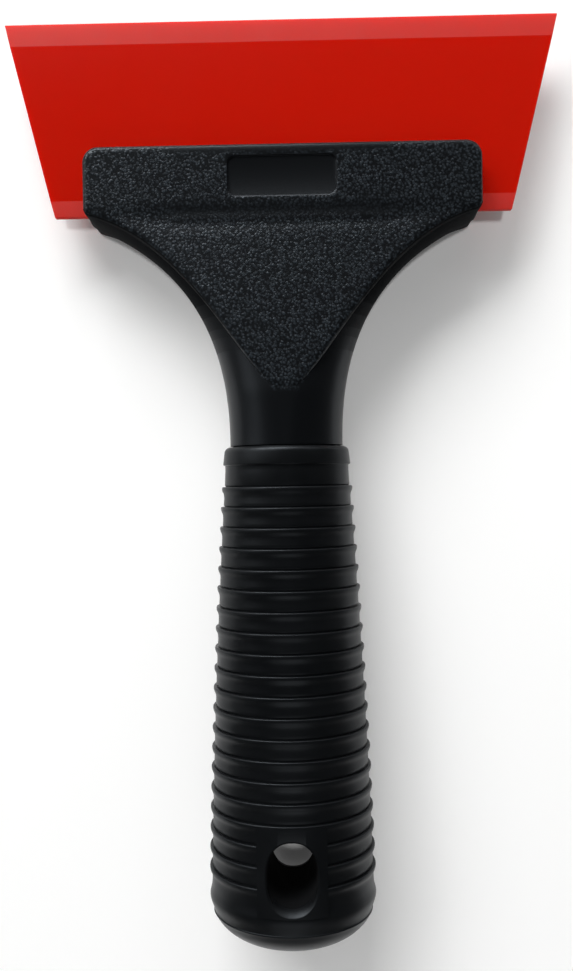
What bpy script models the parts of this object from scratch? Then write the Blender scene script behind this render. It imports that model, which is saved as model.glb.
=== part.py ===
# Short-handled squeegee.
# A thick soft blade is gripped in the slot of a moulded head and slides out of it sideways.
# The head, its neck and a tang are one moulding. A soft ringed sleeve is pushed over the tang,
# and a hole to hang the tool by goes through both near the end.
#
# Lengths are in metres. The tool is built level in its own frame: X runs along the blade,
# Y = 0 is the mouth of the sleeve and +Y points to the wiping edge, and +Z comes out of the
# front face. It is then laid on its back, tilted the way it lies on a table.

import math

import bmesh
import bpy
from mathutils import Matrix, Vector

# Blade
BLADE_EDGE = 0.1404            # along the wiping edge, corner to corner
BLADE_HEEL = 0.1162            # along the edge that sits in the slot
BLADE_HEIGHT = 0.0493          # heel to wiping edge
BLADE_THICK = 0.00635
EDGE_BEVEL = 0.0058            # width of the bevels along the wiping edge
EDGE_DROP = 0.0005             # how far the front bevel falls away from its face
EDGE_UNDERCUT = 0.0044         # and the back one from its own
HEEL_BEVEL = 0.0040
HEEL_DROP = 0.0005
HEEL_UNDERCUT = 0.0044

# Gap kept between two pieces that touch
FIT = 0.0003

# Head
HEAD_LENGTH = 0.0748           # mouth of the sleeve to the lips of the slot
HEAD_WIDTH = 0.0992
LIP_THICK = 0.0182             # over both jaws at the lips
CREASE_THICK = 0.0172          # over the shallow crease where jaws and shield meet
SLOT_DEPTH = 0.0159
SLOT_WEB = 0.0009              # wall left behind the slot at the shoulders
TOOTH_HEIGHT = 0.0005          # teeth along the slot that bite the blade
TOOTH_WIDTH = 0.0014
TOOTH_COUNT = 3
LIP_CORNER = 0.0040            # corner radius of the head, seen from the front
PANEL_ROUND = 0.0012           # rounding of the raised panel's edges
SHIELD_TIP = 0.0136            # the shield's point, from the mouth of the sleeve
SHIELD_SHOULDER = 0.0003       # the shield starts this much inside the head's side
SHIELD_TIP_STEP = 0.0003       # how far the shield stands proud at its point
SHIELD_STEP = 0.0010           # and at the shoulders
PLAQUE_WIDTH = 0.0268
PLAQUE_HEIGHT = 0.0099
PLAQUE_CORNER = 0.0020
PLAQUE_DEPTH = 0.0005
PLAQUE_FROM_LIP = 0.0080       # centre of the bare plaque, from the lips
SIDE_SQUARENESS = 8.0          # how boxy the head's section is beside the neck's oval
SQUARENESS_SPREAD = 0.45       # smaller turns it boxy sooner on the way out of the neck

# Neck and tang
NECK_WIDTH = 0.0289
NECK_STRAIGHT = 0.0016         # length of even neck over the sleeve
OVALITY = 0.78                 # thickness over width of the neck, tang and sleeve
TANG_MOUTH = 0.02744           # width of the tang where it enters the sleeve
TANG_END = 0.0384              # and under the last ring
TANG_BOW = 0.0007              # how far the tang's side bows out between them
TANG_STATIONS = 3              # sections along the tang

# Sleeve
SLEEVE_LENGTH = 0.1268
SLEEVE_WALL = 0.0011           # at the bottom of the grooves
END_WALL = 0.0026              # over the end of the tang
RING_HEIGHT = 0.0009
RING_COUNT = 20
RING_BEAD = 0.0010             # width of the bead on each ring
RING_STEP = 0.0003             # length of the steep side of each ring
BEAD_DROP = 0.2                # share of the ring's height that its bead falls over its width
BEAD_TAIL = 2.0                # where the bead's back runs out, in widths of the bead
TAIL_RISE = 0.06               # share of the ring's height that is left there
FIRST_RING = 0.01013           # from the mouth of the sleeve
LAST_RING = 0.00626            # before the smooth end begins
COLLAR_LENGTH = 0.0046
COLLAR_ROUND = 0.0015
ROUND_CUT = 0.3                # share of that rounding taken off at its middle
CAP_LENGTH = 0.0137            # length of the smooth end
CAP_FULLNESS = 2.2             # 2 is an ellipse, more is boxier

# Hanging hole
HOLE_FROM_END = 0.02265        # centre of the hole, from the end of the sleeve
HOLE_LENGTH = 0.0172           # at its narrowest
HOLE_WIDTH = 0.0124
HOLE_DRAFT = 0.0028            # how much further down the handle it reaches at the back
HOLE_FLARE = 0.0006            # the rim's rounding
PAD_MARGIN = 0.0018            # width of the smooth pad beside the rim
PAD_RISE = 0.00005             # how far the pad stands over the crests
PAD_RING = 17                  # the pad runs down from the bead of this ring
PAD_OVERRUN = 0.0005           # how far it runs on past the start of the smooth end

# Curves of the head, as (across, down) shares of the way from the shoulder to the neck
FLANK_INSET = 0.0005           # the flank starts this much inside the head's side
FLANK_START_PULL = (0.74, 0.208)
FLANK_END_PULL = 0.438
SHIELD_START_PULL = (0.62, 0.11)
SHIELD_END_PULL = (0.24, 0.22)
SHIELD_KNEE = (0.44, 0.10)     # where the shield's edge starts to round its point
SHIELD_KNEE_PULL = 0.06
SHIELD_TIP_PULL = 0.09

# Fineness of the round shapes
SECTION_POINTS = 32
SLEEVE_STEPS = 36
CURVE_STEPS = 10
CORNER_STEPS = 4
ROUND_STEPS = 2
CAP_STEPS = 8
INNER_CAP_STEPS = 5

# Angles in degrees above which an edge stays sharp
MOULDING_SHARP = 35
SLEEVE_SHARP = 50


# Places that several pieces share
lip_y = HEAD_LENGTH
slot_floor = lip_y - SLOT_DEPTH
shoulder_y = slot_floor - SLOT_WEB
heel_y = slot_floor + FIT
edge_y = heel_y + BLADE_HEIGHT
head_half = HEAD_WIDTH / 2
neck_half = NECK_WIDTH / 2
slot_half = BLADE_THICK / 2 + FIT + TOOTH_HEIGHT
cap_start = SLEEVE_LENGTH - CAP_LENGTH
ring_pitch = (cap_start - FIRST_RING - LAST_RING) / (RING_COUNT - 1)
hole_down = SLEEVE_LENGTH - HOLE_FROM_END


def bezier(points, steps):
    """Points along a cubic curve, both ends included."""
    a, b, c, d = [Vector(p) for p in points]
    line = []
    for i in range(steps + 1):
        t = i / steps
        s = 1 - t
        line.append(s**3 * a + 3 * s * s * t * b + 3 * s * t * t * c + t**3 * d)
    return line


def plain_material(name, colour, roughness):
    mat = bpy.data.materials.new(name)
    mat.use_nodes = True
    shader = mat.node_tree.nodes["Principled BSDF"]
    shader.inputs["Base Color"].default_value = (*colour, 1.0)
    shader.inputs["Roughness"].default_value = roughness
    mat.diffuse_color = (*colour, 1.0)
    return mat


def make_object(name, bm, material=None, smooth_angle=None):
    bmesh.ops.recalc_face_normals(bm, faces=bm.faces)
    mesh = bpy.data.meshes.new(name)
    bm.to_mesh(mesh)
    bm.free()
    obj = bpy.data.objects.new(name, mesh)
    bpy.context.scene.collection.objects.link(obj)
    if material:
        mesh.materials.append(material)
    if smooth_angle:
        mesh.shade_smooth()
        mesh.set_sharp_from_angle(angle=math.radians(smooth_angle))
    return obj


def make_tool(name, bm):
    """A shape that only cuts or adds to another one."""
    obj = make_object(name, bm)
    obj.hide_render = True
    obj.display_type = "WIRE"
    return obj


def combine(obj, operation, other):
    mod = obj.modifiers.new(operation.title(), "BOOLEAN")
    mod.operation = operation
    mod.solver = "EXACT"
    mod.object = other


def loft(sections):
    """One closed body through equal rings of points."""
    bm = bmesh.new()
    rings = [[bm.verts.new(p) for p in section] for section in sections]
    for low, high in zip(rings, rings[1:]):
        count = len(low)
        for i in range(count):
            j = (i + 1) % count
            bm.faces.new((low[i], low[j], high[j], high[i]))
    bm.faces.new(rings[0])
    bm.faces.new(rings[-1])
    return bm


def oval_section(y, half_width, half_thick, squareness):
    ring = []
    for i in range(SECTION_POINTS):
        angle = 2 * math.pi * (i + 0.5) / SECTION_POINTS
        c, s = math.cos(angle), math.sin(angle)
        x = math.copysign(abs(c) ** (2 / squareness), c) * half_width
        z = math.copysign(abs(s) ** (2 / squareness), s) * half_thick
        ring.append((x, y, z))
    return ring


def obround(half_width, half_length, y, z):
    """A slot shape with round ends, long way along Y."""
    straight = half_length - half_width
    ring = []
    for end in (1, -1):
        for i in range(2 * CORNER_STEPS + 1):
            angle = math.pi * i / (2 * CORNER_STEPS)
            x = end * half_width * math.cos(angle)
            dy = end * (straight + half_width * math.sin(angle))
            ring.append((x, y + dy, z))
    return ring


def turned(profile):
    """An oval body turned about Y from (y, radius) points that start and end on the axis."""
    bm = bmesh.new()
    verts = [bm.verts.new((radius, y, 0)) for y, radius in profile]
    edges = [bm.edges.new(pair) for pair in zip(verts, verts[1:])]
    bmesh.ops.spin(bm, geom=verts + edges, cent=(0, 0, 0), axis=(0, 1, 0), angle=2 * math.pi,
                   steps=SLEEVE_STEPS, use_merge=True, use_duplicate=False)
    bmesh.ops.remove_doubles(bm, verts=bm.verts, dist=1e-7)
    half_step = Matrix.Rotation(math.pi / SLEEVE_STEPS, 3, "Y")
    bmesh.ops.rotate(bm, cent=(0, 0, 0), matrix=half_step, verts=bm.verts)
    bmesh.ops.scale(bm, vec=(1, 1, OVALITY), verts=bm.verts)
    return bm


# Sizes along the handle. Distances are measured down from the mouth of the sleeve.

def tang_half(down):
    v = down / cap_start
    straight = TANG_MOUTH + (TANG_END - TANG_MOUTH) * v
    return straight / 2 + 4 * TANG_BOW * v * (1 - v)


def bore_half(down):
    return tang_half(down) + FIT


def groove_half(down):
    return bore_half(down) + SLEEVE_WALL


def crest_half(down):
    return groove_half(down) + RING_HEIGHT


def dome(start, length, half_width, steps):
    """The rounded end of the sleeve, tang or bore, from its widest ring to the axis."""
    points = []
    for i in range(1, steps):
        angle = math.pi / 2 * i / steps
        y = -start - length * math.sin(angle) ** (2 / CAP_FULLNESS)
        points.append((y, half_width * math.cos(angle) ** (2 / CAP_FULLNESS)))
    points.append((-start - length, 0))
    return points


def ring_downs():
    return [FIRST_RING + ring_pitch * i for i in range(RING_COUNT)]


def inner_downs():
    return [cap_start * n / TANG_STATIONS for n in range(1, TANG_STATIONS + 1)]


# Pieces

def make_blade(material):
    def half_length(y):
        return (BLADE_HEEL + (BLADE_EDGE - BLADE_HEEL) * (y - heel_y) / BLADE_HEIGHT) / 2

    half = BLADE_THICK / 2
    stations = [(heel_y, HEEL_UNDERCUT - half, half - HEEL_DROP), (heel_y + HEEL_BEVEL, -half, half),
                (edge_y - EDGE_BEVEL, -half, half), (edge_y, EDGE_UNDERCUT - half, half - EDGE_DROP)]
    centre = heel_y + BLADE_HEIGHT / 2
    sections = []
    for station, low, high in stations:
        x, y = half_length(station), station - centre
        sections.append([(-x, y, low), (x, y, low), (x, y, high), (-x, y, high)])
    blade = make_object("squeegee_blade", loft(sections), material)
    blade.location = (0, centre, 0)
    return blade


def panel_top(y):
    """Height of the front panel: level lips, a shallow crease, then up along the shield."""
    if y >= shoulder_y:
        t = (y - shoulder_y) / (lip_y - shoulder_y)
        return (CREASE_THICK + (LIP_THICK - CREASE_THICK) * t) / 2
    t = (shoulder_y - y) / (shoulder_y - SHIELD_TIP)
    neck_top = neck_half * OVALITY + SHIELD_TIP_STEP
    return CREASE_THICK / 2 + (neck_top - CREASE_THICK / 2) * t


def panel_outline():
    """Right half of the raised panel, from the lips round to the shield's point."""
    half = []
    for i in range(CORNER_STEPS + 1):
        angle = math.pi / 2 * (1 - i / CORNER_STEPS)
        x = head_half - LIP_CORNER + LIP_CORNER * math.cos(angle)
        y = lip_y - LIP_CORNER + LIP_CORNER * math.sin(angle)
        half.append(Vector((x, y, 0)))
    run = head_half - neck_half
    drop = shoulder_y - SHIELD_TIP
    start = Vector((head_half - SHIELD_SHOULDER, shoulder_y, 0))
    knee = Vector((SHIELD_KNEE[0] * neck_half, SHIELD_TIP + SHIELD_KNEE[1] * drop, 0))
    half += bezier([start, start - Vector((SHIELD_START_PULL[0] * run, SHIELD_START_PULL[1] * drop, 0)),
                    knee + Vector((SHIELD_END_PULL[0] * run, SHIELD_END_PULL[1] * drop, 0)), knee],
                   CURVE_STEPS)
    tip = Vector((0, SHIELD_TIP, 0))
    half += bezier([knee, knee - Vector((run, drop, 0)) * SHIELD_KNEE_PULL,
                    tip + Vector((SHIELD_TIP_PULL * run, 0, 0)), tip], CORNER_STEPS)[1:]
    return half


def make_panel():
    """The jaws and the shield, front and back, as one plate with rounded edges."""
    right = panel_outline()
    left = [Vector((-p.x, p.y, 0)) for p in reversed(right[:-1])]
    bm = bmesh.new()
    face = bm.faces.new([bm.verts.new(p) for p in right + left])
    level = CREASE_THICK / 2
    bmesh.ops.translate(bm, vec=(0, 0, -level), verts=bm.verts)
    top = bmesh.ops.extrude_face_region(bm, geom=[face])
    lifted = [v for v in top["geom"] if isinstance(v, bmesh.types.BMVert)]
    bmesh.ops.translate(bm, vec=(0, 0, 2 * level), verts=lifted)
    rims = [e for e in bm.edges if abs(e.verts[0].co.z - e.verts[1].co.z) < 1e-6]
    bmesh.ops.bevel(bm, geom=rims, offset=PANEL_ROUND, offset_type="OFFSET", segments=ROUND_STEPS,
                    profile=0.5, affect="EDGES", clamp_overlap=True, material=-1)
    bmesh.ops.bisect_plane(bm, geom=bm.verts[:] + bm.edges[:] + bm.faces[:], dist=1e-7,
                           plane_co=(0, shoulder_y, 0), plane_no=(0, 1, 0))
    for v in bm.verts:
        v.co.z += math.copysign(panel_top(v.co.y) - level, v.co.z)
    return make_tool("panel_shape", bm)


def flank_outline():
    """Half widths of the head's flanks and neck, from the shoulders down to the sleeve."""
    run = head_half - neck_half
    start = Vector((head_half - FLANK_INSET, shoulder_y, 0))
    end = Vector((neck_half, NECK_STRAIGHT, 0))
    drop = start.y - end.y
    return bezier([start, start - Vector((FLANK_START_PULL[0] * run, FLANK_START_PULL[1] * drop, 0)),
                   end + Vector((0, FLANK_END_PULL * drop, 0)), end], CURVE_STEPS)


def flank_thick(y):
    if y <= SHIELD_TIP:
        return neck_half * OVALITY
    t = (y - SHIELD_TIP) / (shoulder_y - SHIELD_TIP)
    return panel_top(y) - SHIELD_TIP_STEP - (SHIELD_STEP - SHIELD_TIP_STEP) * t


def make_handle(material):
    sections = []
    for p in reversed(flank_outline()):
        spread = max(0.0, (p.x - neck_half) / (head_half - neck_half))
        squareness = 2 + SIDE_SQUARENESS * spread ** SQUARENESS_SPREAD
        sections.append(oval_section(p.y, p.x, flank_thick(p.y), squareness))
    sections.insert(0, oval_section(FIT, neck_half, neck_half * OVALITY, 2))
    root = flank_outline()[0]
    sections.append(oval_section(slot_floor - FIT, root.x, flank_thick(shoulder_y), 2 + SIDE_SQUARENESS))
    downs = [-FIT, FIRST_RING] + inner_downs()
    tang = [(-down, tang_half(down)) for down in downs]
    tang += dome(cap_start, SLEEVE_LENGTH - END_WALL - cap_start, tang_half(cap_start), INNER_CAP_STEPS)[:-1]
    for y, half in tang:
        sections.insert(0, oval_section(y, half, half * OVALITY, 2))
    handle = make_object("handle", loft(sections), material, smooth_angle=MOULDING_SHARP)
    combine(handle, "UNION", make_panel())

    bm = bmesh.new()
    bmesh.ops.create_cube(bm, size=1)
    bmesh.ops.scale(bm, vec=(2 * HEAD_WIDTH, 2 * SLOT_DEPTH, 2 * slot_half), verts=bm.verts)
    bmesh.ops.translate(bm, vec=(0, slot_floor + SLOT_DEPTH, 0), verts=bm.verts)
    combine(handle, "DIFFERENCE", make_tool("slot_shape", bm))

    combine(handle, "UNION", make_teeth())
    combine(handle, "DIFFERENCE", make_plaques())
    combine(handle, "DIFFERENCE", make_hole("tang_hole_shape", FIT, 0))
    return handle


def make_teeth():
    """Low ridges that run the length of the slot, on both jaws."""
    bm = bmesh.new()
    half_run = head_half - LIP_CORNER
    for n in range(TOOTH_COUNT):
        y = slot_floor + SLOT_DEPTH * (n + 1) / (TOOTH_COUNT + 1)
        for side in (1, -1):
            root = side * (slot_half + TOOTH_HEIGHT)
            crest = side * (slot_half - TOOTH_HEIGHT)
            ends = [[(x, y - TOOTH_WIDTH, root), (x, y, crest), (x, y + TOOTH_WIDTH, root)]
                    for x in (-half_run, half_run)]
            tooth = loft(ends)
            mesh = bpy.data.meshes.new("tooth")
            tooth.to_mesh(mesh)
            tooth.free()
            bm.from_mesh(mesh)
            bpy.data.meshes.remove(mesh)
    return make_tool("teeth_shape", bm)


def make_plaques():
    """Bare sunk plaques, front and back."""
    bm = bmesh.new()
    y = lip_y - PLAQUE_FROM_LIP
    for side in (1, -1):
        floor = side * (panel_top(y) - PLAQUE_DEPTH)
        far = side * LIP_THICK
        made = bmesh.ops.create_cube(bm, size=1)["verts"]
        bmesh.ops.scale(bm, vec=(PLAQUE_WIDTH, PLAQUE_HEIGHT, abs(far - floor)), verts=made)
        bmesh.ops.translate(bm, vec=(0, y, (far + floor) / 2), verts=made)
    posts = [e for e in bm.edges if abs(e.verts[0].co.z - e.verts[1].co.z) > PLAQUE_DEPTH]
    bmesh.ops.bevel(bm, geom=posts, offset=PLAQUE_CORNER, offset_type="OFFSET", segments=CORNER_STEPS,
                    profile=0.5, affect="EDGES", clamp_overlap=True, material=-1)
    return make_tool("plaque_shape", bm)


def make_hole(name, clearance, flare):
    """The hanging hole, wider at both faces by the flare and longer towards the back."""
    face = groove_half(hole_down) * OVALITY
    far = 2 * face
    narrow = (HOLE_WIDTH / 2 + clearance, HOLE_LENGTH / 2 + clearance)
    wide = (narrow[0] + flare, narrow[1] + flare)
    levels = [(far, wide), (face, wide), (face - flare, narrow)] if flare else [(far, narrow)]
    stack = [(-z, size) for z, size in levels] + [(z, size) for z, size in reversed(levels)]
    rings = []
    for z, (half_width, half_length) in stack:
        longer = HOLE_DRAFT * (face - z) / (2 * face)
        rings.append(obround(half_width, half_length + longer / 2, -hole_down - longer / 2, z))
    return make_tool(name, loft(rings))


def sleeve_profile():
    mouth = crest_half(0)
    points = [(0, 0), (0, mouth - COLLAR_ROUND),
              (-ROUND_CUT * COLLAR_ROUND, mouth - ROUND_CUT * COLLAR_ROUND),
              (-COLLAR_ROUND, crest_half(COLLAR_ROUND)), (-COLLAR_LENGTH, crest_half(COLLAR_LENGTH)),
              (-COLLAR_LENGTH - RING_BEAD, groove_half(COLLAR_LENGTH + RING_BEAD) + BEAD_DROP * RING_HEIGHT)]
    for down in ring_downs():
        crest = crest_half(down)
        after = down + BEAD_TAIL * RING_BEAD
        points += [(-down + RING_STEP, groove_half(down)), (-down, crest),
                   (-down - RING_BEAD, crest - BEAD_DROP * RING_HEIGHT),
                   (-after, groove_half(after) + TAIL_RISE * RING_HEIGHT)]
    points += [(-cap_start + RING_STEP, groove_half(cap_start)), (-cap_start, crest_half(cap_start))]
    return points + dome(cap_start, SLEEVE_LENGTH - cap_start, crest_half(cap_start), CAP_STEPS)


def make_pad():
    """The smooth ground round the hole, just proud of the rings, that runs out on the cap."""
    width = HOLE_WIDTH + 2 * (HOLE_FLARE + PAD_MARGIN)
    top = ring_downs()[PAD_RING - 1] + RING_BEAD / 2
    bottom = cap_start + PAD_OVERRUN
    bm = bmesh.new()
    bmesh.ops.create_cube(bm, size=1)
    bmesh.ops.scale(bm, vec=(width, bottom - top, 2 * crest_half(cap_start)), verts=bm.verts)
    bmesh.ops.translate(bm, vec=(0, -(top + bottom) / 2, 0), verts=bm.verts)
    pad = make_tool("pad_shape", bm)
    downs = [top - ring_pitch, (top + cap_start) / 2, cap_start]
    ground = [(-d, crest_half(d) + PAD_RISE) for d in downs]
    ground.append((-bottom - RING_BEAD, groove_half(cap_start)))
    ground = [(ground[0][0], 0)] + ground + [(ground[-1][0], 0)]
    combine(pad, "INTERSECT", make_tool("pad_ground_shape", turned(ground)))
    return pad


def make_sleeve(material):
    sleeve = make_object("grip_sleeve", turned(sleeve_profile()), material, smooth_angle=SLEEVE_SHARP)
    combine(sleeve, "UNION", make_pad())
    bore = [(FIT, 0), (FIT, bore_half(0))] + [(-d, bore_half(d)) for d in [0] + inner_downs()]
    bore += dome(cap_start, SLEEVE_LENGTH - END_WALL + FIT - cap_start, bore_half(cap_start), INNER_CAP_STEPS)
    combine(sleeve, "DIFFERENCE", make_tool("bore_shape", turned(bore)))
    combine(sleeve, "DIFFERENCE", make_hole("sleeve_hole_shape", 0, HOLE_FLARE))
    return sleeve


def lie_angle():
    """The tilt at which the back touches a table with its lips and one of the rings."""
    edge = lip_y - PANEL_ROUND
    flat = OVALITY * math.cos(math.pi / SLEEVE_STEPS)
    slopes = [(crest_half(d) * flat - panel_top(edge)) / (edge + d) for d in ring_downs()]
    return math.atan(max(slopes))


def lay_down(parts, shapes):
    """Lowers the blade's end by the angle it lies at, and stands the tool on Z = 0, centred."""
    frame = bpy.data.objects.new("tool_frame", None)
    bpy.context.scene.collection.objects.link(frame)
    for obj in parts + shapes:
        obj.parent = frame
    frame.rotation_euler = (-lie_angle(), 0, 0)
    bpy.context.view_layer.update()
    graph = bpy.context.evaluated_depsgraph_get()
    points = []
    for part in parts:
        seen = part.evaluated_get(graph)
        points += [seen.matrix_world @ v.co for v in seen.data.vertices]
    low = [min(p[axis] for p in points) for axis in range(3)]
    high = [max(p[axis] for p in points) for axis in range(3)]
    frame.location = (-(low[0] + high[0]) / 2, -(low[1] + high[1]) / 2, -low[2])


for old in list(bpy.data.objects):
    bpy.data.objects.remove(old, do_unlink=True)

urethane = plain_material("red_urethane", (0.52, 0.012, 0.006), 0.18)
moulding = plain_material("black_moulding", (0.012, 0.013, 0.015), 0.45)
soft_vinyl = plain_material("black_vinyl", (0.014, 0.016, 0.018), 0.40)

blade_object = make_blade(urethane)
handle_object = make_handle(moulding)
sleeve_object = make_sleeve(soft_vinyl)
cutting_shapes = [obj for obj in bpy.data.objects if obj.hide_render]
lay_down([blade_object, handle_object, sleeve_object], cutting_shapes)
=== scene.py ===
import math

import bmesh
import bpy
from mathutils import Matrix, Vector


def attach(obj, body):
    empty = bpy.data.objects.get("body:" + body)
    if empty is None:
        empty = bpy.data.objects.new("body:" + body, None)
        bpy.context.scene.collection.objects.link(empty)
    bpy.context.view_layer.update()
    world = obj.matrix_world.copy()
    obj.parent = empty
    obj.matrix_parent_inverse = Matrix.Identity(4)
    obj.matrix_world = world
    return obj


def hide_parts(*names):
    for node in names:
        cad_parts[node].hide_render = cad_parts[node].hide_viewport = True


# Short-handled squeegee lying on its back on a white table, seen from above.
# Every piece is modelled level and in millimetres: X along the blade, Y = 0 at the mouth of the
# sleeve and +Y to the wiping edge, +Z out of the front. finishPiece() scales it to metres and
# tips it to the way the tool lies in the frame.

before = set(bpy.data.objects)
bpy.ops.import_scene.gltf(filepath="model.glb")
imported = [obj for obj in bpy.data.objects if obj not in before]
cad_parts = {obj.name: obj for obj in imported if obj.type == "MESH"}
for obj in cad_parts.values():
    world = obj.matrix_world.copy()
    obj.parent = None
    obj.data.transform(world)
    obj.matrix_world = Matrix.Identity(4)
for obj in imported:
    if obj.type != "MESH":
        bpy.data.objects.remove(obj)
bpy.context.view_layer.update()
print("frame loaded:", ", ".join(sorted(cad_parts)))

layDown = {"tilt": -2.7289982, "forward": 9.076, "lift": 12.558}  # degrees and mm
levelToFrame = (Matrix.Scale(0.001, 4)
                @ Matrix.Translation((0, layDown["forward"], layDown["lift"]))
                @ Matrix.Rotation(math.radians(layDown["tilt"]), 4, "X"))

gap = 0.3           # mm between pieces that touch
ovality = 0.78      # thickness over width of neck and tang
weldReach = 0.0005  # mm, points nearer than this to each other become one
cutReach = 0.00001  # mm, points nearer than this to a cutting plane lie on it


# Small helpers

def smoothStep(low, high, value):
    t = min(1, max(0, (value - low) / (high - low)))
    return t * t * (3 - 2 * t)


def fadeOut(low, high, value):
    # 1 up to low and 0 from high on
    return smoothStep(-high, -low, -value)


def bezier(points, steps):
    a, b, c, d = [Vector(p) for p in points]
    line = []
    for i in range(steps + 1):
        t = i / steps
        s = 1 - t
        line.append(s**3 * a + 3 * s * s * t * b + 3 * s * t * t * c + t**3 * d)
    return line


def linkMesh(name, bm):
    bmesh.ops.remove_doubles(bm, verts=bm.verts, dist=weldReach)
    bmesh.ops.recalc_face_normals(bm, faces=bm.faces)
    mesh = bpy.data.meshes.new(name)
    bm.to_mesh(mesh)
    bm.free()
    obj = bpy.data.objects.new(name, mesh)
    bpy.context.scene.collection.objects.link(obj)
    return obj


def combine(obj, operation, bm):
    other = linkMesh("combining shape", bm)
    mod = obj.modifiers.new(operation, "BOOLEAN")
    mod.operation = operation
    mod.solver = "EXACT"
    mod.object = other
    applyModifiers(obj)
    bpy.data.meshes.remove(other.data)


def applyModifiers(obj):
    graph = bpy.context.evaluated_depsgraph_get()
    done = bpy.data.meshes.new_from_object(obj.evaluated_get(graph))
    old = obj.data
    obj.modifiers.clear()
    obj.data = done
    bpy.data.meshes.remove(old)


def finishPiece(obj, body, node, sharpAngle, materials):
    obj.data.transform(levelToFrame)
    obj.data.shade_smooth()
    obj.data.set_sharp_from_angle(angle=math.radians(sharpAngle))
    for material in materials:
        obj.data.materials.append(material)
    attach(obj, body)
    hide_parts(node)
    print("made", obj.name, "with", len(obj.data.polygons), "faces")


def straightTube(points, steps):
    # a round tube of radius 1 whose rings stand at Y = 0, 1, 2 ... steps, closed at both ends
    bm = bmesh.new()
    bmesh.ops.create_circle(bm, segments=points, radius=1)
    bmesh.ops.rotate(bm, verts=bm.verts, matrix=Matrix.Rotation(math.pi / points, 3, "Z"))
    bmesh.ops.rotate(bm, verts=bm.verts, matrix=Matrix.Rotation(math.pi / 2, 3, "X"))
    bmesh.ops.spin(bm, geom=bm.verts[:] + bm.edges[:], axis=(0, 1, 0), dvec=(0, 1, 0),
                   angle=0, steps=steps, use_duplicate=False)
    bmesh.ops.holes_fill(bm, edges=[e for e in bm.edges if e.is_boundary])
    return bm


def shapeTube(bm, sections):
    # sections are (y, half width, half thickness, width of the rounded edge, bow of the lower half)
    for v in bm.verts:
        y, width, thick, edge, bow = sections[round(v.co.y)]
        y += bow * min(0, v.co.z) ** 2
        v.co = (v.co.x * edge + math.copysign(width - edge, v.co.x), y, v.co.z * thick)


def turned(chains, steps):
    # chains of (y, radius) points, turned about Y and then flattened to an oval
    bm = bmesh.new()
    for chain in chains:
        verts = [bm.verts.new((radius, y, 0)) for y, radius in chain]
        for pair in zip(verts, verts[1:]):
            bm.edges.new(pair)
    bmesh.ops.spin(bm, geom=bm.verts[:] + bm.edges[:], axis=(0, 1, 0), angle=2 * math.pi,
                   steps=steps, use_merge=True, use_duplicate=False)
    bmesh.ops.remove_doubles(bm, verts=bm.verts, dist=weldReach)
    bmesh.ops.rotate(bm, verts=bm.verts, matrix=Matrix.Rotation(math.pi / steps, 3, "Y"))
    bmesh.ops.scale(bm, vec=(1, 1, sleeve["ovality"]), verts=bm.verts)
    return bm


def splitCircle(point, radius, spreadX, spreadY):
    # a point of a straightTube() ring moved to an outline with four rounded corners
    return (point.x * radius + math.copysign(spreadX, point.x),
            point.z * radius + math.copysign(spreadY, point.z))


def roundSlot(halfWidth, halfLength, cornerSteps):
    # outline of a slot with round ends, long way along Y
    straight = halfLength - halfWidth
    line = []
    for end in (1, -1):
        for i in range(cornerSteps + 1):
            angle = math.pi * i / cornerSteps
            line.append(Vector((end * halfWidth * math.cos(angle),
                                end * (straight + halfWidth * math.sin(angle)), 0)))
    return line


def pulledFace(corners, way):
    bm = bmesh.new()
    face = bm.faces.new([bm.verts.new(corner) for corner in corners])
    pulled = bmesh.ops.extrude_face_region(bm, geom=[face])["geom"]
    bmesh.ops.translate(bm, vec=way, verts=[v for v in pulled if isinstance(v, bmesh.types.BMVert)])
    return bm


def plateFrom(outline, bottom, top):
    return pulledFace([(p.x, p.y, bottom) for p in outline], (0, 0, top - bottom))


def cutAcross(bm, place, normal):
    bmesh.ops.bisect_plane(bm, geom=bm.verts[:] + bm.edges[:] + bm.faces[:], dist=cutReach,
                           plane_co=place, plane_no=normal)


def softenEdges(bm, edges, width, steps):
    bmesh.ops.bevel(bm, geom=edges, offset=width, offset_type="OFFSET", segments=steps,
                    profile=0.5, affect="EDGES", clamp_overlap=True, material=-1)


# Materials

def newMaterial(name, colour, roughness):
    mat = bpy.data.materials.new(name)
    mat.use_nodes = True
    mat.diffuse_color = (*colour, 1)
    shader = mat.node_tree.nodes["Principled BSDF"]
    shader.inputs["Base Color"].default_value = (*colour, 1)
    shader.inputs["Roughness"].default_value = roughness
    return mat, shader


def addNode(mat, kind, inputs=None, **settings):
    node = mat.node_tree.nodes.new(kind)
    for key, value in settings.items():
        setattr(node, key, value)
    for key, value in (inputs or {}).items():
        if isinstance(value, bpy.types.NodeSocket):
            mat.node_tree.links.new(value, node.inputs[key])
        else:
            node.inputs[key].default_value = value
    return node


def rangeNode(mat, value, given, wanted):
    # given and wanted are (low, high), for what comes in and for what goes out
    node = addNode(mat, "ShaderNodeMapRange", {"Value": value})
    for key, number in zip(("From Min", "From Max", "To Min", "To Max"), given + wanted):
        node.inputs[key].default_value = number
    return node.outputs["Result"]


def objectPlace(mat):
    return addNode(mat, "ShaderNodeTexCoord").outputs["Object"]


def setShine(shader, shine, tint):
    shader.inputs["Specular IOR Level"].default_value = shine
    shader.inputs["Specular Tint"].default_value = (*tint, 1)


urethane = {
    "body": (0.45, 0.0070, 0.0020), "bodyRough": 0.15, "shine": 0.16,
    # bevel: paler red of the cut faces, partly their frosted surface and partly painted light from the table
    # coming through the thin edge
    "bevel": (0.49, 0.026, 0.019), "bevelRough": 0.60,
    "ior": 1.5, "glow": 0.6, "glowRadius": (1.0, 0.12, 0.06), "glowScale": 0.006,
}


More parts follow.
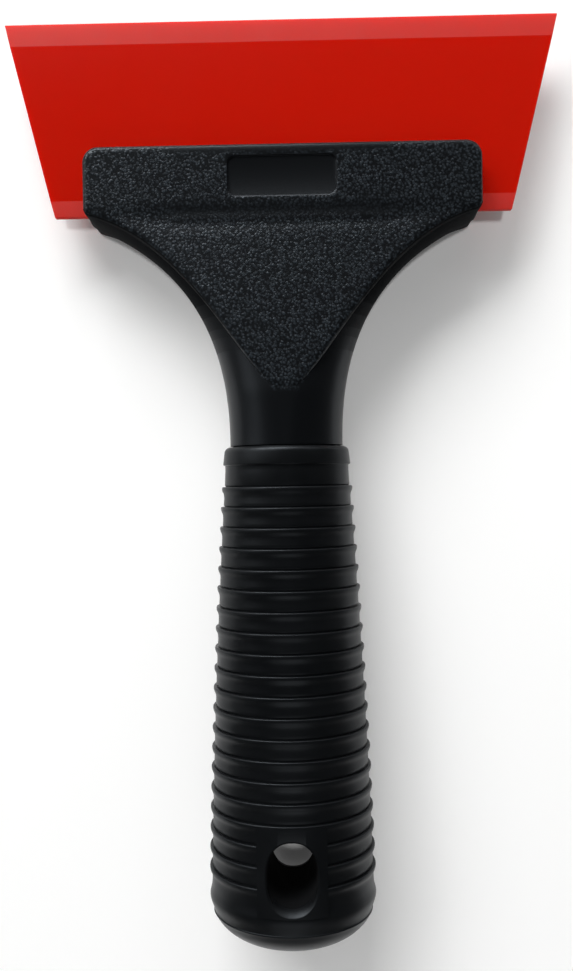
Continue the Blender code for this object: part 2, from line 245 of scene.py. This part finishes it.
def makeUrethane(name, colour, roughness, scratches):
    mat, shader = newMaterial(name, colour, roughness)
    place = objectPlace(mat)
    clouds = addNode(mat, "ShaderNodeTexNoise", {"Vector": place, "Scale": 60.0, "Detail": 3.0})
    rough = rangeNode(mat, clouds.outputs["Fac"], (0.3, 0.7), (roughness * 0.9, roughness * 1.1))
    mat.node_tree.links.new(rough, shader.inputs["Roughness"])
    grain = addNode(mat, "ShaderNodeTexNoise", {"Vector": place, "Scale": 2500.0, "Detail": 2.0})
    bump = addNode(mat, "ShaderNodeBump", {"Height": grain.outputs["Fac"], "Strength": scratches,
                                           "Distance": 0.0001})
    mat.node_tree.links.new(bump.outputs["Normal"], shader.inputs["Normal"])
    shader.inputs["IOR"].default_value = urethane["ior"]
    shader.inputs["Specular IOR Level"].default_value = urethane["shine"]
    shader.inputs["Subsurface Weight"].default_value = urethane["glow"]
    shader.inputs["Subsurface Radius"].default_value = urethane["glowRadius"]
    shader.inputs["Subsurface Scale"].default_value = urethane["glowScale"]
    return mat


clearRed = makeUrethane("clear red urethane", urethane["body"], urethane["bodyRough"], scratches=0.02)
# the cut faces: frosted, and painted paler for light coming through the thin edges
cutRedPaintedLight = makeUrethane("cut red urethane with painted light through the edge", urethane["bevel"], urethane["bevelRough"], scratches=0.25)

moulding = {
    "colour": (0.0022, 0.0025, 0.0030), "rough": 0.32, "grainRough": 0.31,
    "tint": (0.82, 0.91, 1.0), "shine": 0.27,
    "pebble": 0.66,                          # mm across
    "pebbleEdge": (0.20, 0.62),              # where its slope begins and ends, in shares of its size
    "pebbleSizes": (0.55, 1.0),
    "pebbleBend": (0.0006, 0.0006, 0.0006),  # m
    "pebbleDepth": 0.00005,                  # m
    # base colour of the pebble tops: a painted glint, lighter where the pebble domes catch the light
    "paintedPebbleGlint": (0.019, 0.024, 0.029),
    "dullRough": 0.9, "dullShine": 0.1,
    "sideRough": 0.75, "sideRoughStep": 0.08, "sideShine": 0.08, "sideShineStep": 0.035, "sideSteps": 5,
}


def makeMoulding():
    mat, shader = newMaterial("grained black moulding", moulding["colour"], moulding["rough"])
    links = mat.node_tree.links
    place = objectPlace(mat)
    cover = addNode(mat, "ShaderNodeAttribute", attribute_name="grain").outputs["Fac"]
    bend = addNode(mat, "ShaderNodeTexNoise", {"Vector": place, "Scale": 1100.0, "Detail": 1.0})
    pull = addNode(mat, "ShaderNodeVectorMath", {0: bend.outputs["Color"], 1: moulding["pebbleBend"]},
                   operation="MULTIPLY")
    bent = addNode(mat, "ShaderNodeVectorMath", {0: place, 1: pull.outputs[0]}, operation="ADD")
    cells = addNode(mat, "ShaderNodeTexVoronoi", {"Vector": bent.outputs[0], "Randomness": 1.0,
                                                  "Scale": 1000 / moulding["pebble"]}, feature="F1")
    pebbles = rangeNode(mat, cells.outputs["Distance"], moulding["pebbleEdge"], (1.0, 0.0))
    fine = addNode(mat, "ShaderNodeTexNoise", {"Vector": place, "Scale": 900.0, "Detail": 3.0})
    size = rangeNode(mat, fine.outputs["Fac"], (0.35, 0.62), moulding["pebbleSizes"])
    uneven = addNode(mat, "ShaderNodeMath", {0: pebbles, 1: size}, operation="MULTIPLY")
    height = addNode(mat, "ShaderNodeMath", {0: uneven.outputs[0], 1: cover}, operation="MULTIPLY")
    bump = addNode(mat, "ShaderNodeBump", {"Height": height.outputs[0], "Strength": 1.0,
                                           "Distance": moulding["pebbleDepth"]})
    # sockets 6 and 7 of the mix are its two colours, and output 2 is the colour
    # painted glint: the base colour turns lighter on the top of every pebble wherever the grain shows
    paintedGlintTone = addNode(mat, "ShaderNodeMix", {0: height.outputs[0], 6: (*moulding["colour"], 1),
                                          7: (*moulding["paintedPebbleGlint"], 1)}, data_type="RGBA")
    links.new(paintedGlintTone.outputs[2], shader.inputs["Base Color"])
    satin = addNode(mat, "ShaderNodeTexNoise", {"Vector": place, "Scale": 1800.0, "Detail": 4.0})
    satinBump = addNode(mat, "ShaderNodeBump", {"Height": satin.outputs["Fac"], "Strength": 0.12,
                                                "Distance": 0.00008, "Normal": bump.outputs["Normal"]})
    links.new(satinBump.outputs["Normal"], shader.inputs["Normal"])
    rough = rangeNode(mat, cover, (0.0, 1.0), (moulding["rough"], moulding["grainRough"]))
    links.new(rough, shader.inputs["Roughness"])
    setShine(shader, moulding["shine"], moulding["tint"])
    return mat


def makeSideBlack(step):
    # the sides of the head, duller than the neck and turning into it in steps
    mat, shader = newMaterial("side black " + str(step + 1), moulding["colour"],
                              moulding["sideRough"] - moulding["sideRoughStep"] * step)
    setShine(shader, moulding["sideShine"] + moulding["sideShineStep"] * step, moulding["tint"])
    return mat


vinyl = {"colour": (0.0022, 0.0025, 0.0029), "rough": 0.37, "tint": (0.84, 0.92, 1.0), "shine": 0.25}


def makeVinyl():
    mat, shader = newMaterial("black vinyl", vinyl["colour"], vinyl["rough"])
    links = mat.node_tree.links
    place = objectPlace(mat)
    clouds = addNode(mat, "ShaderNodeTexNoise", {"Vector": place, "Scale": 90.0, "Detail": 4.0})
    rough = rangeNode(mat, clouds.outputs["Fac"], (0.3, 0.7), (vinyl["rough"] * 0.85, vinyl["rough"] * 1.2))
    links.new(rough, shader.inputs["Roughness"])
    skin = addNode(mat, "ShaderNodeTexNoise", {"Vector": place, "Scale": 1400.0, "Detail": 3.0})
    bump = addNode(mat, "ShaderNodeBump", {"Height": skin.outputs["Fac"], "Strength": 0.10,
                                           "Distance": 0.00008})
    links.new(bump.outputs["Normal"], shader.inputs["Normal"])
    setShine(shader, vinyl["shine"], vinyl["tint"])
    return mat


blackMoulding = makeMoulding()
dullBlack, dullShader = newMaterial("unpolished black", moulding["colour"], moulding["dullRough"])
dullShader.inputs["Specular IOR Level"].default_value = moulding["dullShine"]
sideBlacks = [makeSideBlack(step) for step in range(moulding["sideSteps"])]
blackVinyl = makeVinyl()


# The blade: a slab with tapered ends and a bevel along each long edge

blade = {
    "edge": 140.4, "heel": 116.2, "height": 49.3, "thick": 6.35,
    "edgeBevel": 5.8, "edgeDrop": 0.5, "edgeUndercut": 4.4,
    "heelBevel": 4.0, "heelDrop": 0.5, "heelUndercut": 4.4,
    "heelY": 59.2, "softEdge": 0.18, "softEdgeSteps": 2, "softFromAngle": 20,
}


def makeBlade():
    edgeY = blade["heelY"] + blade["height"]
    bm = bmesh.new()
    bmesh.ops.create_cube(bm, size=1)
    bmesh.ops.scale(bm, vec=(blade["edge"], blade["height"], blade["thick"]), verts=bm.verts)
    bmesh.ops.translate(bm, vec=(0, blade["heelY"] + blade["height"] / 2, 0), verts=bm.verts)
    for y in (blade["heelY"] + blade["heelBevel"], edgeY - blade["edgeBevel"]):
        cutAcross(bm, (0, y, 0), (0, 1, 0))
    for v in bm.verts:
        share = (edgeY - v.co.y) / blade["height"]
        v.co.x *= 1 - share * (1 - blade["heel"] / blade["edge"])
        if v.co.y > edgeY - 1:
            v.co.z += blade["edgeUndercut"] if v.co.z < 0 else -blade["edgeDrop"]
        elif v.co.y < blade["heelY"] + 1:
            v.co.z += blade["heelUndercut"] if v.co.z < 0 else -blade["heelDrop"]
    bmesh.ops.recalc_face_normals(bm, faces=bm.faces)
    # faces that are not level take the cut red: frosted, and painted paler for light coming through the thin
    # edges
    for face in bm.faces:
        level = abs(face.normal.z) > 0.999
        face.material_index = 0 if level else 1
    corners = [e for e in bm.edges if e.calc_face_angle(0) > math.radians(blade["softFromAngle"])]
    softenEdges(bm, corners, blade["softEdge"], blade["softEdgeSteps"])
    finishPiece(linkMesh("wiping_blade", bm), "blade", "squeegee_blade",
                sharpAngle=8, materials=[clearRed, cutRedPaintedLight])


makeBlade()


# The handle: grained jaws and shield over smooth flanks, a neck, and the tang inside the sleeve

head = {
    "lipY": 74.8, "halfWidth": 49.6, "shoulderY": 58.0, "slotFloor": 58.9,
    "lipHalf": 9.07, "creaseHalf": 8.6, "corner": 4.0, "shoulderRound": 1.4,
    "shieldTip": 13.6, "tipStep": 0.3, "sideStep": 1.0, "shieldInset": 0.3, "flankInset": 0.2,
    "panelRound": 1.2, "edge": 2.0, "edgeSpread": 0.6, "flankBow": 2.3, "flankDrop": 0.4,
    "creaseTop": 60.2, "creaseBottom": 55.4, "creaseDip": 0.28, "creaseReach": (24, 37),
    "creaseShift": 1.2, "creaseWidth": 2.0, "jawSlope": 0.012,
    "slotHalf": 3.975, "toothHeight": 0.5, "toothWidth": 1.4, "teeth": 3, "slotMouth": 0.45,
    "dullFrom": 24, "dullBand": 3, "dullOver": 1.7, "dullUnder": 0.35,
}
curves = {  # where the outlines of the head run and how they are pulled, as shares of its width and length
    "shieldStart": (0.62, 0.11), "shieldEnd": (0.24, 0.22), "knee": (0.44, 0.10),
    "kneePull": 0.06, "tipPull": 0.09, "flankStart": (0.74, 0.192), "flankEnd": 0.438,
    "shoulderBlend": ((0.42, 0.46, 0.12), (0.14, 0.5, 0.36)),
}
plaque = {
    "width": 26.8, "height": 9.9, "corner": 2.0, "depth": 0.5, "fromLip": 8.0,
    "softEdge": 0.3, "foot": 0.15, "over": 0.6,
}
grainFade = {  # shares of the grain that go, and where: distances from the lip, places and reach in X
    "lip": 0.9, "lipBand": (2.6, 1.6), "lipReach": (24, 30),
    "crease": 0.7, "creaseY": 58.3, "creaseWidth": 1.9, "creaseReach": (24, 34),
    "plaqueMargin": 0.2, "plaqueDepth": 0.1, "plaqueRim": 0.5,
}
neck = {"half": 14.45, "straight": 1.6, "tangMouth": 27.44, "tangEnd": 38.4, "tangBow": 0.7}
sleeve = {
    "ovality": 0.7757, "length": 126.74, "wall": 1.1, "endWall": 2.6, "capStart": 113.1,
    "ringHeight": 0.9, "pitch": 5.09, "rings": 20, "firstRing": 10.13,
    "collarLength": 4.6, "collarRound": 1.5, "bead": 1.0, "endPull": 13.5,
    "rimDown": 118.3, "rimHalf": 20.3, "turns": 144,
}
hole = {
    "down": 104.15, "halfLength": 8.6, "halfWidth": 6.2, "round": 0.6,
    "padMargin": 1.8, "padRise": 0.05, "padOverrun": 0.5, "padRing": 17, "draft": 2.8,
    "fullness": 2.3, "dullBelow": 1.6, "reach": 40,
}


def tangHalf(down):
    v = down / sleeve["capStart"]
    straight = neck["tangMouth"] + (neck["tangEnd"] - neck["tangMouth"]) * v
    return straight / 2 + 4 * neck["tangBow"] * v * (1 - v)


def grooveHalf(down):
    return tangHalf(down) + gap + sleeve["wall"]


def crestHalf(down):
    return grooveHalf(down) + sleeve["ringHeight"]


def roundedEnd(start, length, half, steps):
    # from the widest ring of a rounded end to the axis, a little fuller than a quarter of an ellipse
    line = []
    for i in range(1, steps):
        angle = math.pi / 2 * i / steps
        down = length * math.sin(angle) ** 0.9
        line.append((-start - down, max(0, half * math.cos(angle)) ** 0.9 * half ** 0.1))
    return line + [(-start - length, 0)]


def panelHalf(x, y):
    # height of jaws and shield over the middle plane, front and back alike
    jaw = head["lipHalf"] - head["jawSlope"] * (head["lipY"] - y)
    rise = neck["half"] * ovality + head["tipStep"] - head["creaseHalf"]
    slope = rise / (head["shoulderY"] - head["shieldTip"])
    shield = head["creaseHalf"] + slope * (head["shoulderY"] - y)
    blend = fadeOut(head["creaseBottom"], head["creaseTop"], y)
    middle = (head["creaseTop"] + head["creaseBottom"]) / 2
    dip = head["creaseDip"] * math.exp(-((y - middle + head["creaseShift"]) / head["creaseWidth"]) ** 2)
    dip *= 1 - smoothStep(*head["creaseReach"], abs(x))
    return jaw + (shield - jaw) * blend - dip


def shareOf(name, run, drop):
    across, along = curves[name]
    return Vector((across * run, along * drop, 0))


def panelOutline():
    # the right half from the lip to the tip of the shield, then its mirror image
    drop = head["shoulderY"] - head["shieldTip"]
    run = head["halfWidth"] - neck["half"]
    half = []
    cornerSteps = 12
    for i in range(cornerSteps + 1):
        angle = math.pi / 2 * (1 - i / cornerSteps)
        half.append(Vector((head["halfWidth"] - head["corner"] * (1 - math.cos(angle)),
                            head["lipY"] - head["corner"] * (1 - math.sin(angle)), 0)))
    start = Vector((head["halfWidth"] - head["shieldInset"], head["shoulderY"], 0))
    knee = Vector((curves["knee"][0] * neck["half"], head["shieldTip"] + curves["knee"][1] * drop, 0))
    edge = bezier([start, start - shareOf("shieldStart", run, drop),
                   knee + shareOf("shieldEnd", run, drop), knee], 44)
    side = start + Vector((head["shieldInset"], head["shoulderRound"], 0))
    half.append(side)
    half += [side * a + start * b + edge[1] * c for a, b, c in curves["shoulderBlend"]]
    half += edge[1:]
    tip = Vector((0, head["shieldTip"], 0))
    half += bezier([knee, knee - Vector((run, drop, 0)) * curves["kneePull"],
                    tip + Vector((curves["tipPull"] * run, 0, 0)), tip], 8)[1:]
    return half + [Vector((-p.x, p.y, 0)) for p in reversed(half[:-1])]


def makePanel():
    level = head["creaseHalf"]
    bm = plateFrom(panelOutline(), -level, level)
    rims = [e for e in bm.edges if abs(e.verts[0].co.z - e.verts[1].co.z) < cutReach]
    softenEdges(bm, rims, head["panelRound"], 4)
    for normal, places in (((1, 0, 0), range(-48, 49, 2)), ((0, 1, 0), range(13, 75))):
        for place in places:
            cutAcross(bm, Vector(normal) * place, normal)
    for v in bm.verts:
        v.co.z += math.copysign(panelHalf(v.co.x, v.co.y) - level, v.co.z)
    return bm


def flankSections():
    # down the end of the head, round its corner and along the side to the neck
    run = head["halfWidth"] - neck["half"]
    start = Vector((head["halfWidth"] - head["flankInset"], head["shoulderY"] - head["flankDrop"], 0))
    end = Vector((neck["half"], neck["straight"], 0))
    drop = start.y - end.y
    curve = bezier([start, start - shareOf("flankStart", run, drop),
                    end + Vector((0, curves["flankEnd"] * drop, 0)), end], 56)
    corner = [start + Vector((-0.05, 0.9, 0)), start + Vector((-0.35, 0.2, 0)),
              curve[1] + (start - curve[1]) * 0.35 + Vector((-0.35, -0.1, 0))]
    pastCrease = 60
    sections = []
    for p in [Vector((start.x, head["slotFloor"] - gap, 0))] + corner + curve[1:]:
        spread = max(0, (p.x - neck["half"]) / run)
        y = min(p.y, head["shoulderY"])
        if y <= head["shieldTip"]:
            thick = neck["half"] * ovality
        else:
            t = (y - head["shieldTip"]) / (head["shoulderY"] - head["shieldTip"])
            thick = panelHalf(pastCrease, y) - head["tipStep"] - (head["sideStep"] - head["tipStep"]) * t
        edge = p.x + (head["edge"] - p.x) * spread ** head["edgeSpread"]
        sections.append((p.y, p.x, thick, edge, head["flankBow"] * spread ** 2))
    return sections


def ovalSection(y, half):
    return y, half, half * ovality, half, 0


def makeFlanks():
    # flanks, neck and tang as one tube, with a step in to the tang just above the sleeve
    cap = sleeve["capStart"]
    sections = flankSections() + [ovalSection(gap, neck["half"])]
    for down in (-gap, 4, sleeve["firstRing"], 30, 50, 70, 90, cap):
        sections.append(ovalSection(-down, tangHalf(max(0, down))))
    for y, half in roundedEnd(cap, sleeve["length"] - sleeve["endWall"] - cap, tangHalf(cap), 6)[:-1]:
        sections.append(ovalSection(y, half))
    bm = straightTube(96, len(sections) - 1)
    shapeTube(bm, sections)
    return bm


def slotShape():
    # the slot with its teeth, as one outline pulled along X, a little wider at the mouth
    line = [(head["slotFloor"], 0), (head["slotFloor"], head["slotHalf"])]
    depth = head["lipY"] - head["slotFloor"]
    for n in range(head["teeth"]):
        y = head["slotFloor"] + depth * (n + 1) / (head["teeth"] + 1)
        wide = head["toothWidth"] / 2
        line += [(y - wide, head["slotHalf"]), (y, head["slotHalf"] - head["toothHeight"]),
                 (y + wide, head["slotHalf"])]
    mouth = head["slotMouth"]
    lip, half = head["lipY"], head["slotHalf"]
    line += [(lip - 2 * mouth, half), (lip - 0.6 * mouth, half + 0.3 * mouth), (lip, half + mouth),
             (lip + 3, half + mouth)]
    outline = line + [(y, -z) for y, z in reversed(line[1:])]
    reach = head["halfWidth"] + 4
    return pulledFace([(-reach, y, z) for y, z in outline], (2 * reach, 0, 0))


def plaqueShape(side):
    # a bare sunk plaque; rings are (height over its floor, growth of its outline)
    deep, soft, foot = plaque["depth"], plaque["softEdge"], plaque["foot"]
    turns = [math.radians(a) for a in (0, 30, 60, 90)]
    rings = [(foot * (1 - math.cos(a)), foot * (math.sin(a) - 1)) for a in turns]
    rings += [(deep - soft * (1 - math.sin(a)), soft * (1 - math.cos(a))) for a in turns]
    rings.append((deep + plaque["over"], soft))
    bm = straightTube(32, len(rings) - 1)
    y = head["lipY"] - plaque["fromLip"]
    for v in bm.verts:
        height, grow = rings[round(v.co.y)]
        across = splitCircle(v.co, plaque["corner"] + grow, plaque["width"] / 2 - plaque["corner"],
                             plaque["height"] / 2 - plaque["corner"])
        v.co = (*across, height)
    bmesh.ops.rotate(bm, verts=bm.verts, matrix=Matrix.Rotation(head["jawSlope"], 3, "X"))
    bmesh.ops.translate(bm, vec=(0, y, panelHalf(0, y) - deep), verts=bm.verts)
    if side < 0:
        bmesh.ops.scale(bm, vec=(1, 1, -1), verts=bm.verts)
    return bm


def holeDraft(z):
    # how much further down the handle the hole reaches at height z
    face = grooveHalf(hole["down"]) * ovality
    return hole["draft"] * (face - z) / (2 * face)


def tangHole():
    reach = 30
    bm = plateFrom(roundSlot(hole["halfWidth"], hole["halfLength"] + gap, 12), -reach, reach)
    for v in bm.verts:
        v.co.y -= hole["down"] + (holeDraft(v.co.z) if v.co.y < 0 else 0)
    return bm


def grainAt(x, y, z):
    # the grain on the panel fades along the lip and in the crease, and stops at the plaque
    bandStart, bandEnd = [head["lipY"] - down for down in grainFade["lipBand"]]
    lip = fadeOut(*grainFade["lipReach"], abs(x)) * smoothStep(bandStart, bandEnd, y)
    crease = math.exp(-((y - grainFade["creaseY"]) / grainFade["creaseWidth"]) ** 2)
    crease *= fadeOut(*grainFade["creaseReach"], abs(x))
    plaqueY = head["lipY"] - plaque["fromLip"]
    fromPlaque = max(abs(x) - plaque["width"] / 2, abs(y - plaqueY) - plaque["height"] / 2)
    if fromPlaque < grainFade["plaqueMargin"]:
        return 0 if abs(z) < panelHalf(x, y) - grainFade["plaqueDepth"] else grainFade["plaqueRim"]
    return (1 - grainFade["lip"] * lip) * (1 - grainFade["crease"] * crease)


def paintGrain(obj):
    # how much of the pebble grain, with the painted glint on its pebble tops, shows at each point, from 0 to
    # 1
    grain = obj.data.attributes.new("grain", "FLOAT", "POINT")
    outline = panelOutline()
    edges = list(zip(outline, outline[1:] + outline[:1]))
    for v in obj.data.vertices:
        x, y, z = v.co
        inside = False
        for a, b in edges:
            if (a.y > y) != (b.y > y) and x < a.x + (y - a.y) / (b.y - a.y) * (b.x - a.x):
                inside = not inside
        onPanel = inside and abs(z) > panelHalf(x, y) - head["panelRound"] * 0.9
        grain.data[v.index].value = grainAt(x, y, z) if onPanel else 0


def makeHandle():
    obj = linkMesh("moulded_handle", makeFlanks())
    combine(obj, "UNION", makePanel())
    combine(obj, "DIFFERENCE", slotShape())
    for side in (1, -1):
        combine(obj, "DIFFERENCE", plaqueShape(side))
    combine(obj, "DIFFERENCE", tangHole())
    band = head["dullBand"]
    evenFrom = head["dullFrom"] + (len(sideBlacks) - 1) * band
    for face in obj.data.polygons:
        x, y, z = face.center
        onSide = head["dullFrom"] < y < head["shoulderY"] + head["dullOver"]
        if onSide and abs(z) < panelHalf(x, y) - head["dullUnder"]:
            face.material_index = 2 + max(0, math.ceil((evenFrom - y) / band))
        else:
            face.material_index = 1 if y < 0 else 0
    paintGrain(obj)
    finishPiece(obj, "handle", "handle",
                sharpAngle=32, materials=[blackMoulding, dullBlack] + sideBlacks)


makeHandle()


# The sleeve: a soft ringed grip with a collar, a smooth rounded end and a pad round the hole

ringShape = [  # how far down the handle (mm) and what share of the ring's height
    (-0.45, 0.24), (-0.32, 0.15), (-0.18, 0.02), (-0.02, 0.0), (0.0, 0.74), (0.05, 0.88),
    (0.15, 0.97), (0.35, 1.0), (0.6, 0.99), (0.9, 0.92), (1.2, 0.79), (1.5, 0.62),
    (1.85, 0.45), (2.3, 0.32), (2.9, 0.26), (3.8, 0.24),
]
capRise = [(-1.6, 0.24), (-0.8, 0.34), (0.0, 0.58), (0.9, 0.84)]  # the same, where the smooth end begins
# from the end of the collar and from the rim of the smooth end: how far up the handle and out, in mm
collarEnd = [(0.3, 0), (0.08, -0.05), (0, -0.15), (-0.1, -0.42), (-0.3, -0.5)]
rimBead = [(0.30, 0.02), (0.12, 0.18), (-0.05, 0.18), (-0.2, 0.05)]


def outerProfile():
    mouth = crestHalf(0)
    r = sleeve["collarRound"]
    line = [(0, tangHalf(0) + gap), (0, mouth - r)]
    roundSteps = 6
    for i in range(1, roundSteps + 1):
        angle = math.pi / 2 * i / roundSteps
        line.append((-r * (1 - math.cos(angle)), mouth - r * (1 - math.sin(angle))))
    end = sleeve["collarLength"]
    line += [(-end + up, crestHalf(end) + out) for up, out in collarEnd]
    line.append((-end - 1.5, grooveHalf(end + 1.5) + 0.3))
    for n in range(sleeve["rings"]):
        down = sleeve["firstRing"] + sleeve["pitch"] * n
        for after, share in ringShape:
            line.append((-down - after, grooveHalf(down + after) + share * sleeve["ringHeight"]))
    return line + capProfile()


def capProfile():
    cap = sleeve["capStart"]
    line = [(-cap - after, grooveHalf(cap) + share * sleeve["ringHeight"]) for after, share in capRise]
    rim = (-sleeve["rimDown"], sleeve["rimHalf"])
    line += [(p.x, p.y) for p in bezier([(*line[-1], 0), (-cap - 2.2, crestHalf(cap), 0),
                                         (rim[0] + 1.5, rim[1] + 0.16, 0), (*rim, 0)], 8)[1:]]
    line[-1:] = [(rim[0] + up, rim[1] + out) for up, out in rimBead]
    line += [(p.x, p.y) for p in bezier([(rim[0] - 0.3, rim[1] - 0.08, 0), (rim[0] - 3.7, rim[1] - 1.5, 0),
                                         (-sleeve["length"], sleeve["endPull"], 0),
                                         (-sleeve["length"], 0, 0)], 16)[1:]]
    return line


def faceHalf(down):
    # half width over the crests and pad, and on over the smooth end
    if down < sleeve["capStart"] + hole["padOverrun"]:
        return crestHalf(min(down, sleeve["capStart"])) + hole["padRise"]
    line = capProfile()
    for (y, radius), (nextY, nextRadius) in zip(line, line[1:]):
        if nextY <= -down <= y:
            return radius + (nextRadius - radius) * (y + down) / (y - nextY)


def innerProfile():
    cap = sleeve["capStart"]
    line = [(-down, tangHalf(down) + gap) for down in (0, 30, 60, 90, cap)]
    return line + roundedEnd(cap, sleeve["length"] - sleeve["endWall"] + gap - cap, tangHalf(cap) + gap, 8)


def padShape():
    # smooth ground round the hole, level with the crests of the rings
    half = hole["halfWidth"] + hole["round"] + hole["padMargin"]
    top = sleeve["firstRing"] + sleeve["pitch"] * (hole["padRing"] - 1) + sleeve["bead"] / 2
    bottom = sleeve["capStart"] + hole["padOverrun"]
    bm = bmesh.new()
    bmesh.ops.create_cube(bm, size=2)
    bmesh.ops.scale(bm, vec=(half, (bottom - top) / 2, hole["reach"]), verts=bm.verts)
    bmesh.ops.translate(bm, vec=(0, -(top + bottom) / 2, 0), verts=bm.verts)
    pad = linkMesh("pad", bm)
    downs = (top - 4, top, (top + bottom) / 2, sleeve["capStart"])
    ground = [(-down, crestHalf(down) + hole["padRise"]) for down in downs]
    ground.append((-bottom - 1, ground[-1][1]))
    combine(pad, "INTERSECT", turned([[(ground[0][0], 0)] + ground + [(ground[-1][0], 0)]], sleeve["turns"]))
    bm = bmesh.new()
    bm.from_mesh(pad.data)
    bpy.data.meshes.remove(pad.data)
    return bm


def holeShape():
    # the hole's rim is rounded, and the rounding follows the curved faces; rings are (side, height over
    # the start of the rounding, growth of the outline), and the outline only shrinks at the lower front
    r = hole["round"]
    power = hole["fullness"]
    rings = [("far", r), (r, r), (r - 0.04, r - 0.12), (r - 0.12, r - 0.2), (r - 0.5, r - 0.6), (-1.2, -0.9),
             (-2.2, -1.15)]
    rings = [(1, z, w) for z, w in rings] + [(-1, z, w) for z, w in reversed(rings)]
    bm = straightTube(64, len(rings) - 1)
    for v in bm.verts:
        side, z, grow = rings[round(v.co.y)]
        wide = hole["halfWidth"]
        lower = smoothStep(0.15, 1.0, -v.co.z) if side > 0 else 0
        grow = max(grow, 0) + min(grow, 0) * lower
        fullness = (abs(v.co.x) ** power + abs(v.co.z) ** power) ** (-1 / power)
        x, y = v.co.x * wide * fullness, v.co.z * hole["halfLength"] * fullness - hole["down"]
        outX, outY = x + v.co.x * grow, y + v.co.z * grow
        if v.co.z < 0:
            draft = holeDraft(side * faceHalf(-y) * sleeve["ovality"])
            y, outY = y - draft, outY - draft
        face = faceHalf(-y)
        level = sleeve["ovality"] * math.sqrt(face * face - x * x) - r
        v.co = (outX, outY, side * (hole["reach"] if z == "far" else level + z))
    return bm


def makeSleeve():
    obj = linkMesh("ringed_sleeve", turned([outerProfile(), innerProfile()], sleeve["turns"]))
    combine(obj, "UNION", padShape())
    combine(obj, "DIFFERENCE", holeShape())
    reachX = hole["halfWidth"] + 0.05
    reachY = hole["halfLength"] + hole["draft"]
    for face in obj.data.polygons:
        x, y, z = face.center
        inHole = abs(x) < reachX and abs(y + hole["down"]) < reachY
        deep = inHole and abs(z) < sleeve["ovality"] * faceHalf(-y) - hole["dullBelow"]
        face.material_index = 1 if deep else 0
    finishPiece(obj, "handle", "grip_sleeve", sharpAngle=40, materials=[blackVinyl, dullBlack])


makeSleeve()


# Table, light and camera

tableLift = 0.03  # how much whiter the table looks than it is


def makeTable():
    bm = bmesh.new()
    bmesh.ops.create_grid(bm, x_segments=1, y_segments=1, size=4)
    table = linkMesh("table", bm)
    mat, shader = newMaterial("white table", (0.94, 0.94, 0.935), roughness=0.9)
    shader.inputs["Specular IOR Level"].default_value = 0
    rays = addNode(mat, "ShaderNodeLightPath")
    seen = rays.outputs["Is Camera Ray"]
    for kind in ("Is Glossy Ray", "Is Transmission Ray"):
        either = addNode(mat, "ShaderNodeMath", {0: seen, 1: rays.outputs[kind]}, operation="MAXIMUM")
        seen = either.outputs[0]
    lift = addNode(mat, "ShaderNodeMath", {0: seen, 1: tableLift}, operation="MULTIPLY")
    mat.node_tree.links.new(lift.outputs[0], shader.inputs["Emission Strength"])
    shader.inputs["Emission Color"].default_value = (1, 1, 1, 1)
    table.data.materials.append(mat)


makeTable()
print("table made")


lampDistance = 3
lamps = [  # azimuth and height in degrees, size in metres, watts, seen in reflections
    ("top left", 112, 30, (2.2, 1.3), 112, True),
    ("top right", 68, 30, (2.4, 1.5), 16, True),
    ("left", 157, 32, (1.7, 1.7), 14, True),
    ("bottom", -90, 45, (1.5, 1.5), 8, True),
    ("overhead", 90, 90, (0.25, 0.25), 20, False),
]


def makeLamp(name, azimuth, height, size, power, reflected):
    data = bpy.data.lights.new(name, "AREA")
    data.shape = "RECTANGLE"
    data.size, data.size_y = size
    data.energy = power
    lamp = bpy.data.objects.new(name + " lamp", data)
    a, h = math.radians(azimuth), math.radians(height)
    lamp.location = Vector((math.cos(h) * math.cos(a), math.cos(h) * math.sin(a), math.sin(h))) * lampDistance
    lamp.rotation_euler = (-lamp.location).to_track_quat("-Z", "Y").to_euler()
    lamp.visible_glossy = reflected
    bpy.context.scene.collection.objects.link(lamp)


for lamp in lamps:
    makeLamp(*lamp)
print("lamps made:", len(lamps))


skyLevels = [(0.0, 0.19), (0.12, 0.145), (0.3, 0.01), (1.0, 0.0)]  # height and brightness


def makeSky():
    world = bpy.data.worlds.new("studio")
    bpy.context.scene.world = world
    world.use_nodes = True
    tree = world.node_tree
    direction = tree.nodes.new("ShaderNodeTexCoord")
    parts = tree.nodes.new("ShaderNodeSeparateXYZ")
    tree.links.new(direction.outputs["Generated"], parts.inputs[0])
    ramp = tree.nodes.new("ShaderNodeValToRGB")
    tree.links.new(parts.outputs["Z"], ramp.inputs[0])
    for place, level in skyLevels:
        if place in (0, 1):
            stop = ramp.color_ramp.elements[int(place)]
        else:
            stop = ramp.color_ramp.elements.new(place)
        stop.position = place
        stop.color = (level, level, level, 1)
    background = tree.nodes["Background"]
    tree.links.new(ramp.outputs[0], background.inputs["Color"])
    background.inputs["Strength"].default_value = 1.0


makeSky()


view = {  # metres, degrees and the lens in mm
    "place": (0.002526, 0.010458, 0.225743), "turn": (-3.05568, 0.67161, -0.91738),
    "lens": 30.625, "sensor": 36, "nearest": 0.005,
}


def makeCamera():
    camera = bpy.data.objects.new("camera", bpy.data.cameras.new("camera"))
    camera.data.sensor_fit = "AUTO"
    camera.data.sensor_width = view["sensor"]
    camera.data.lens = view["lens"]
    camera.data.clip_start = view["nearest"]
    camera.location = view["place"]
    camera.rotation_euler = [math.radians(angle) for angle in view["turn"]]
    bpy.context.scene.collection.objects.link(camera)
    bpy.context.scene.camera = camera
    bpy.context.scene.view_settings.view_transform = "Standard"


makeCamera()
print("sky and camera made")
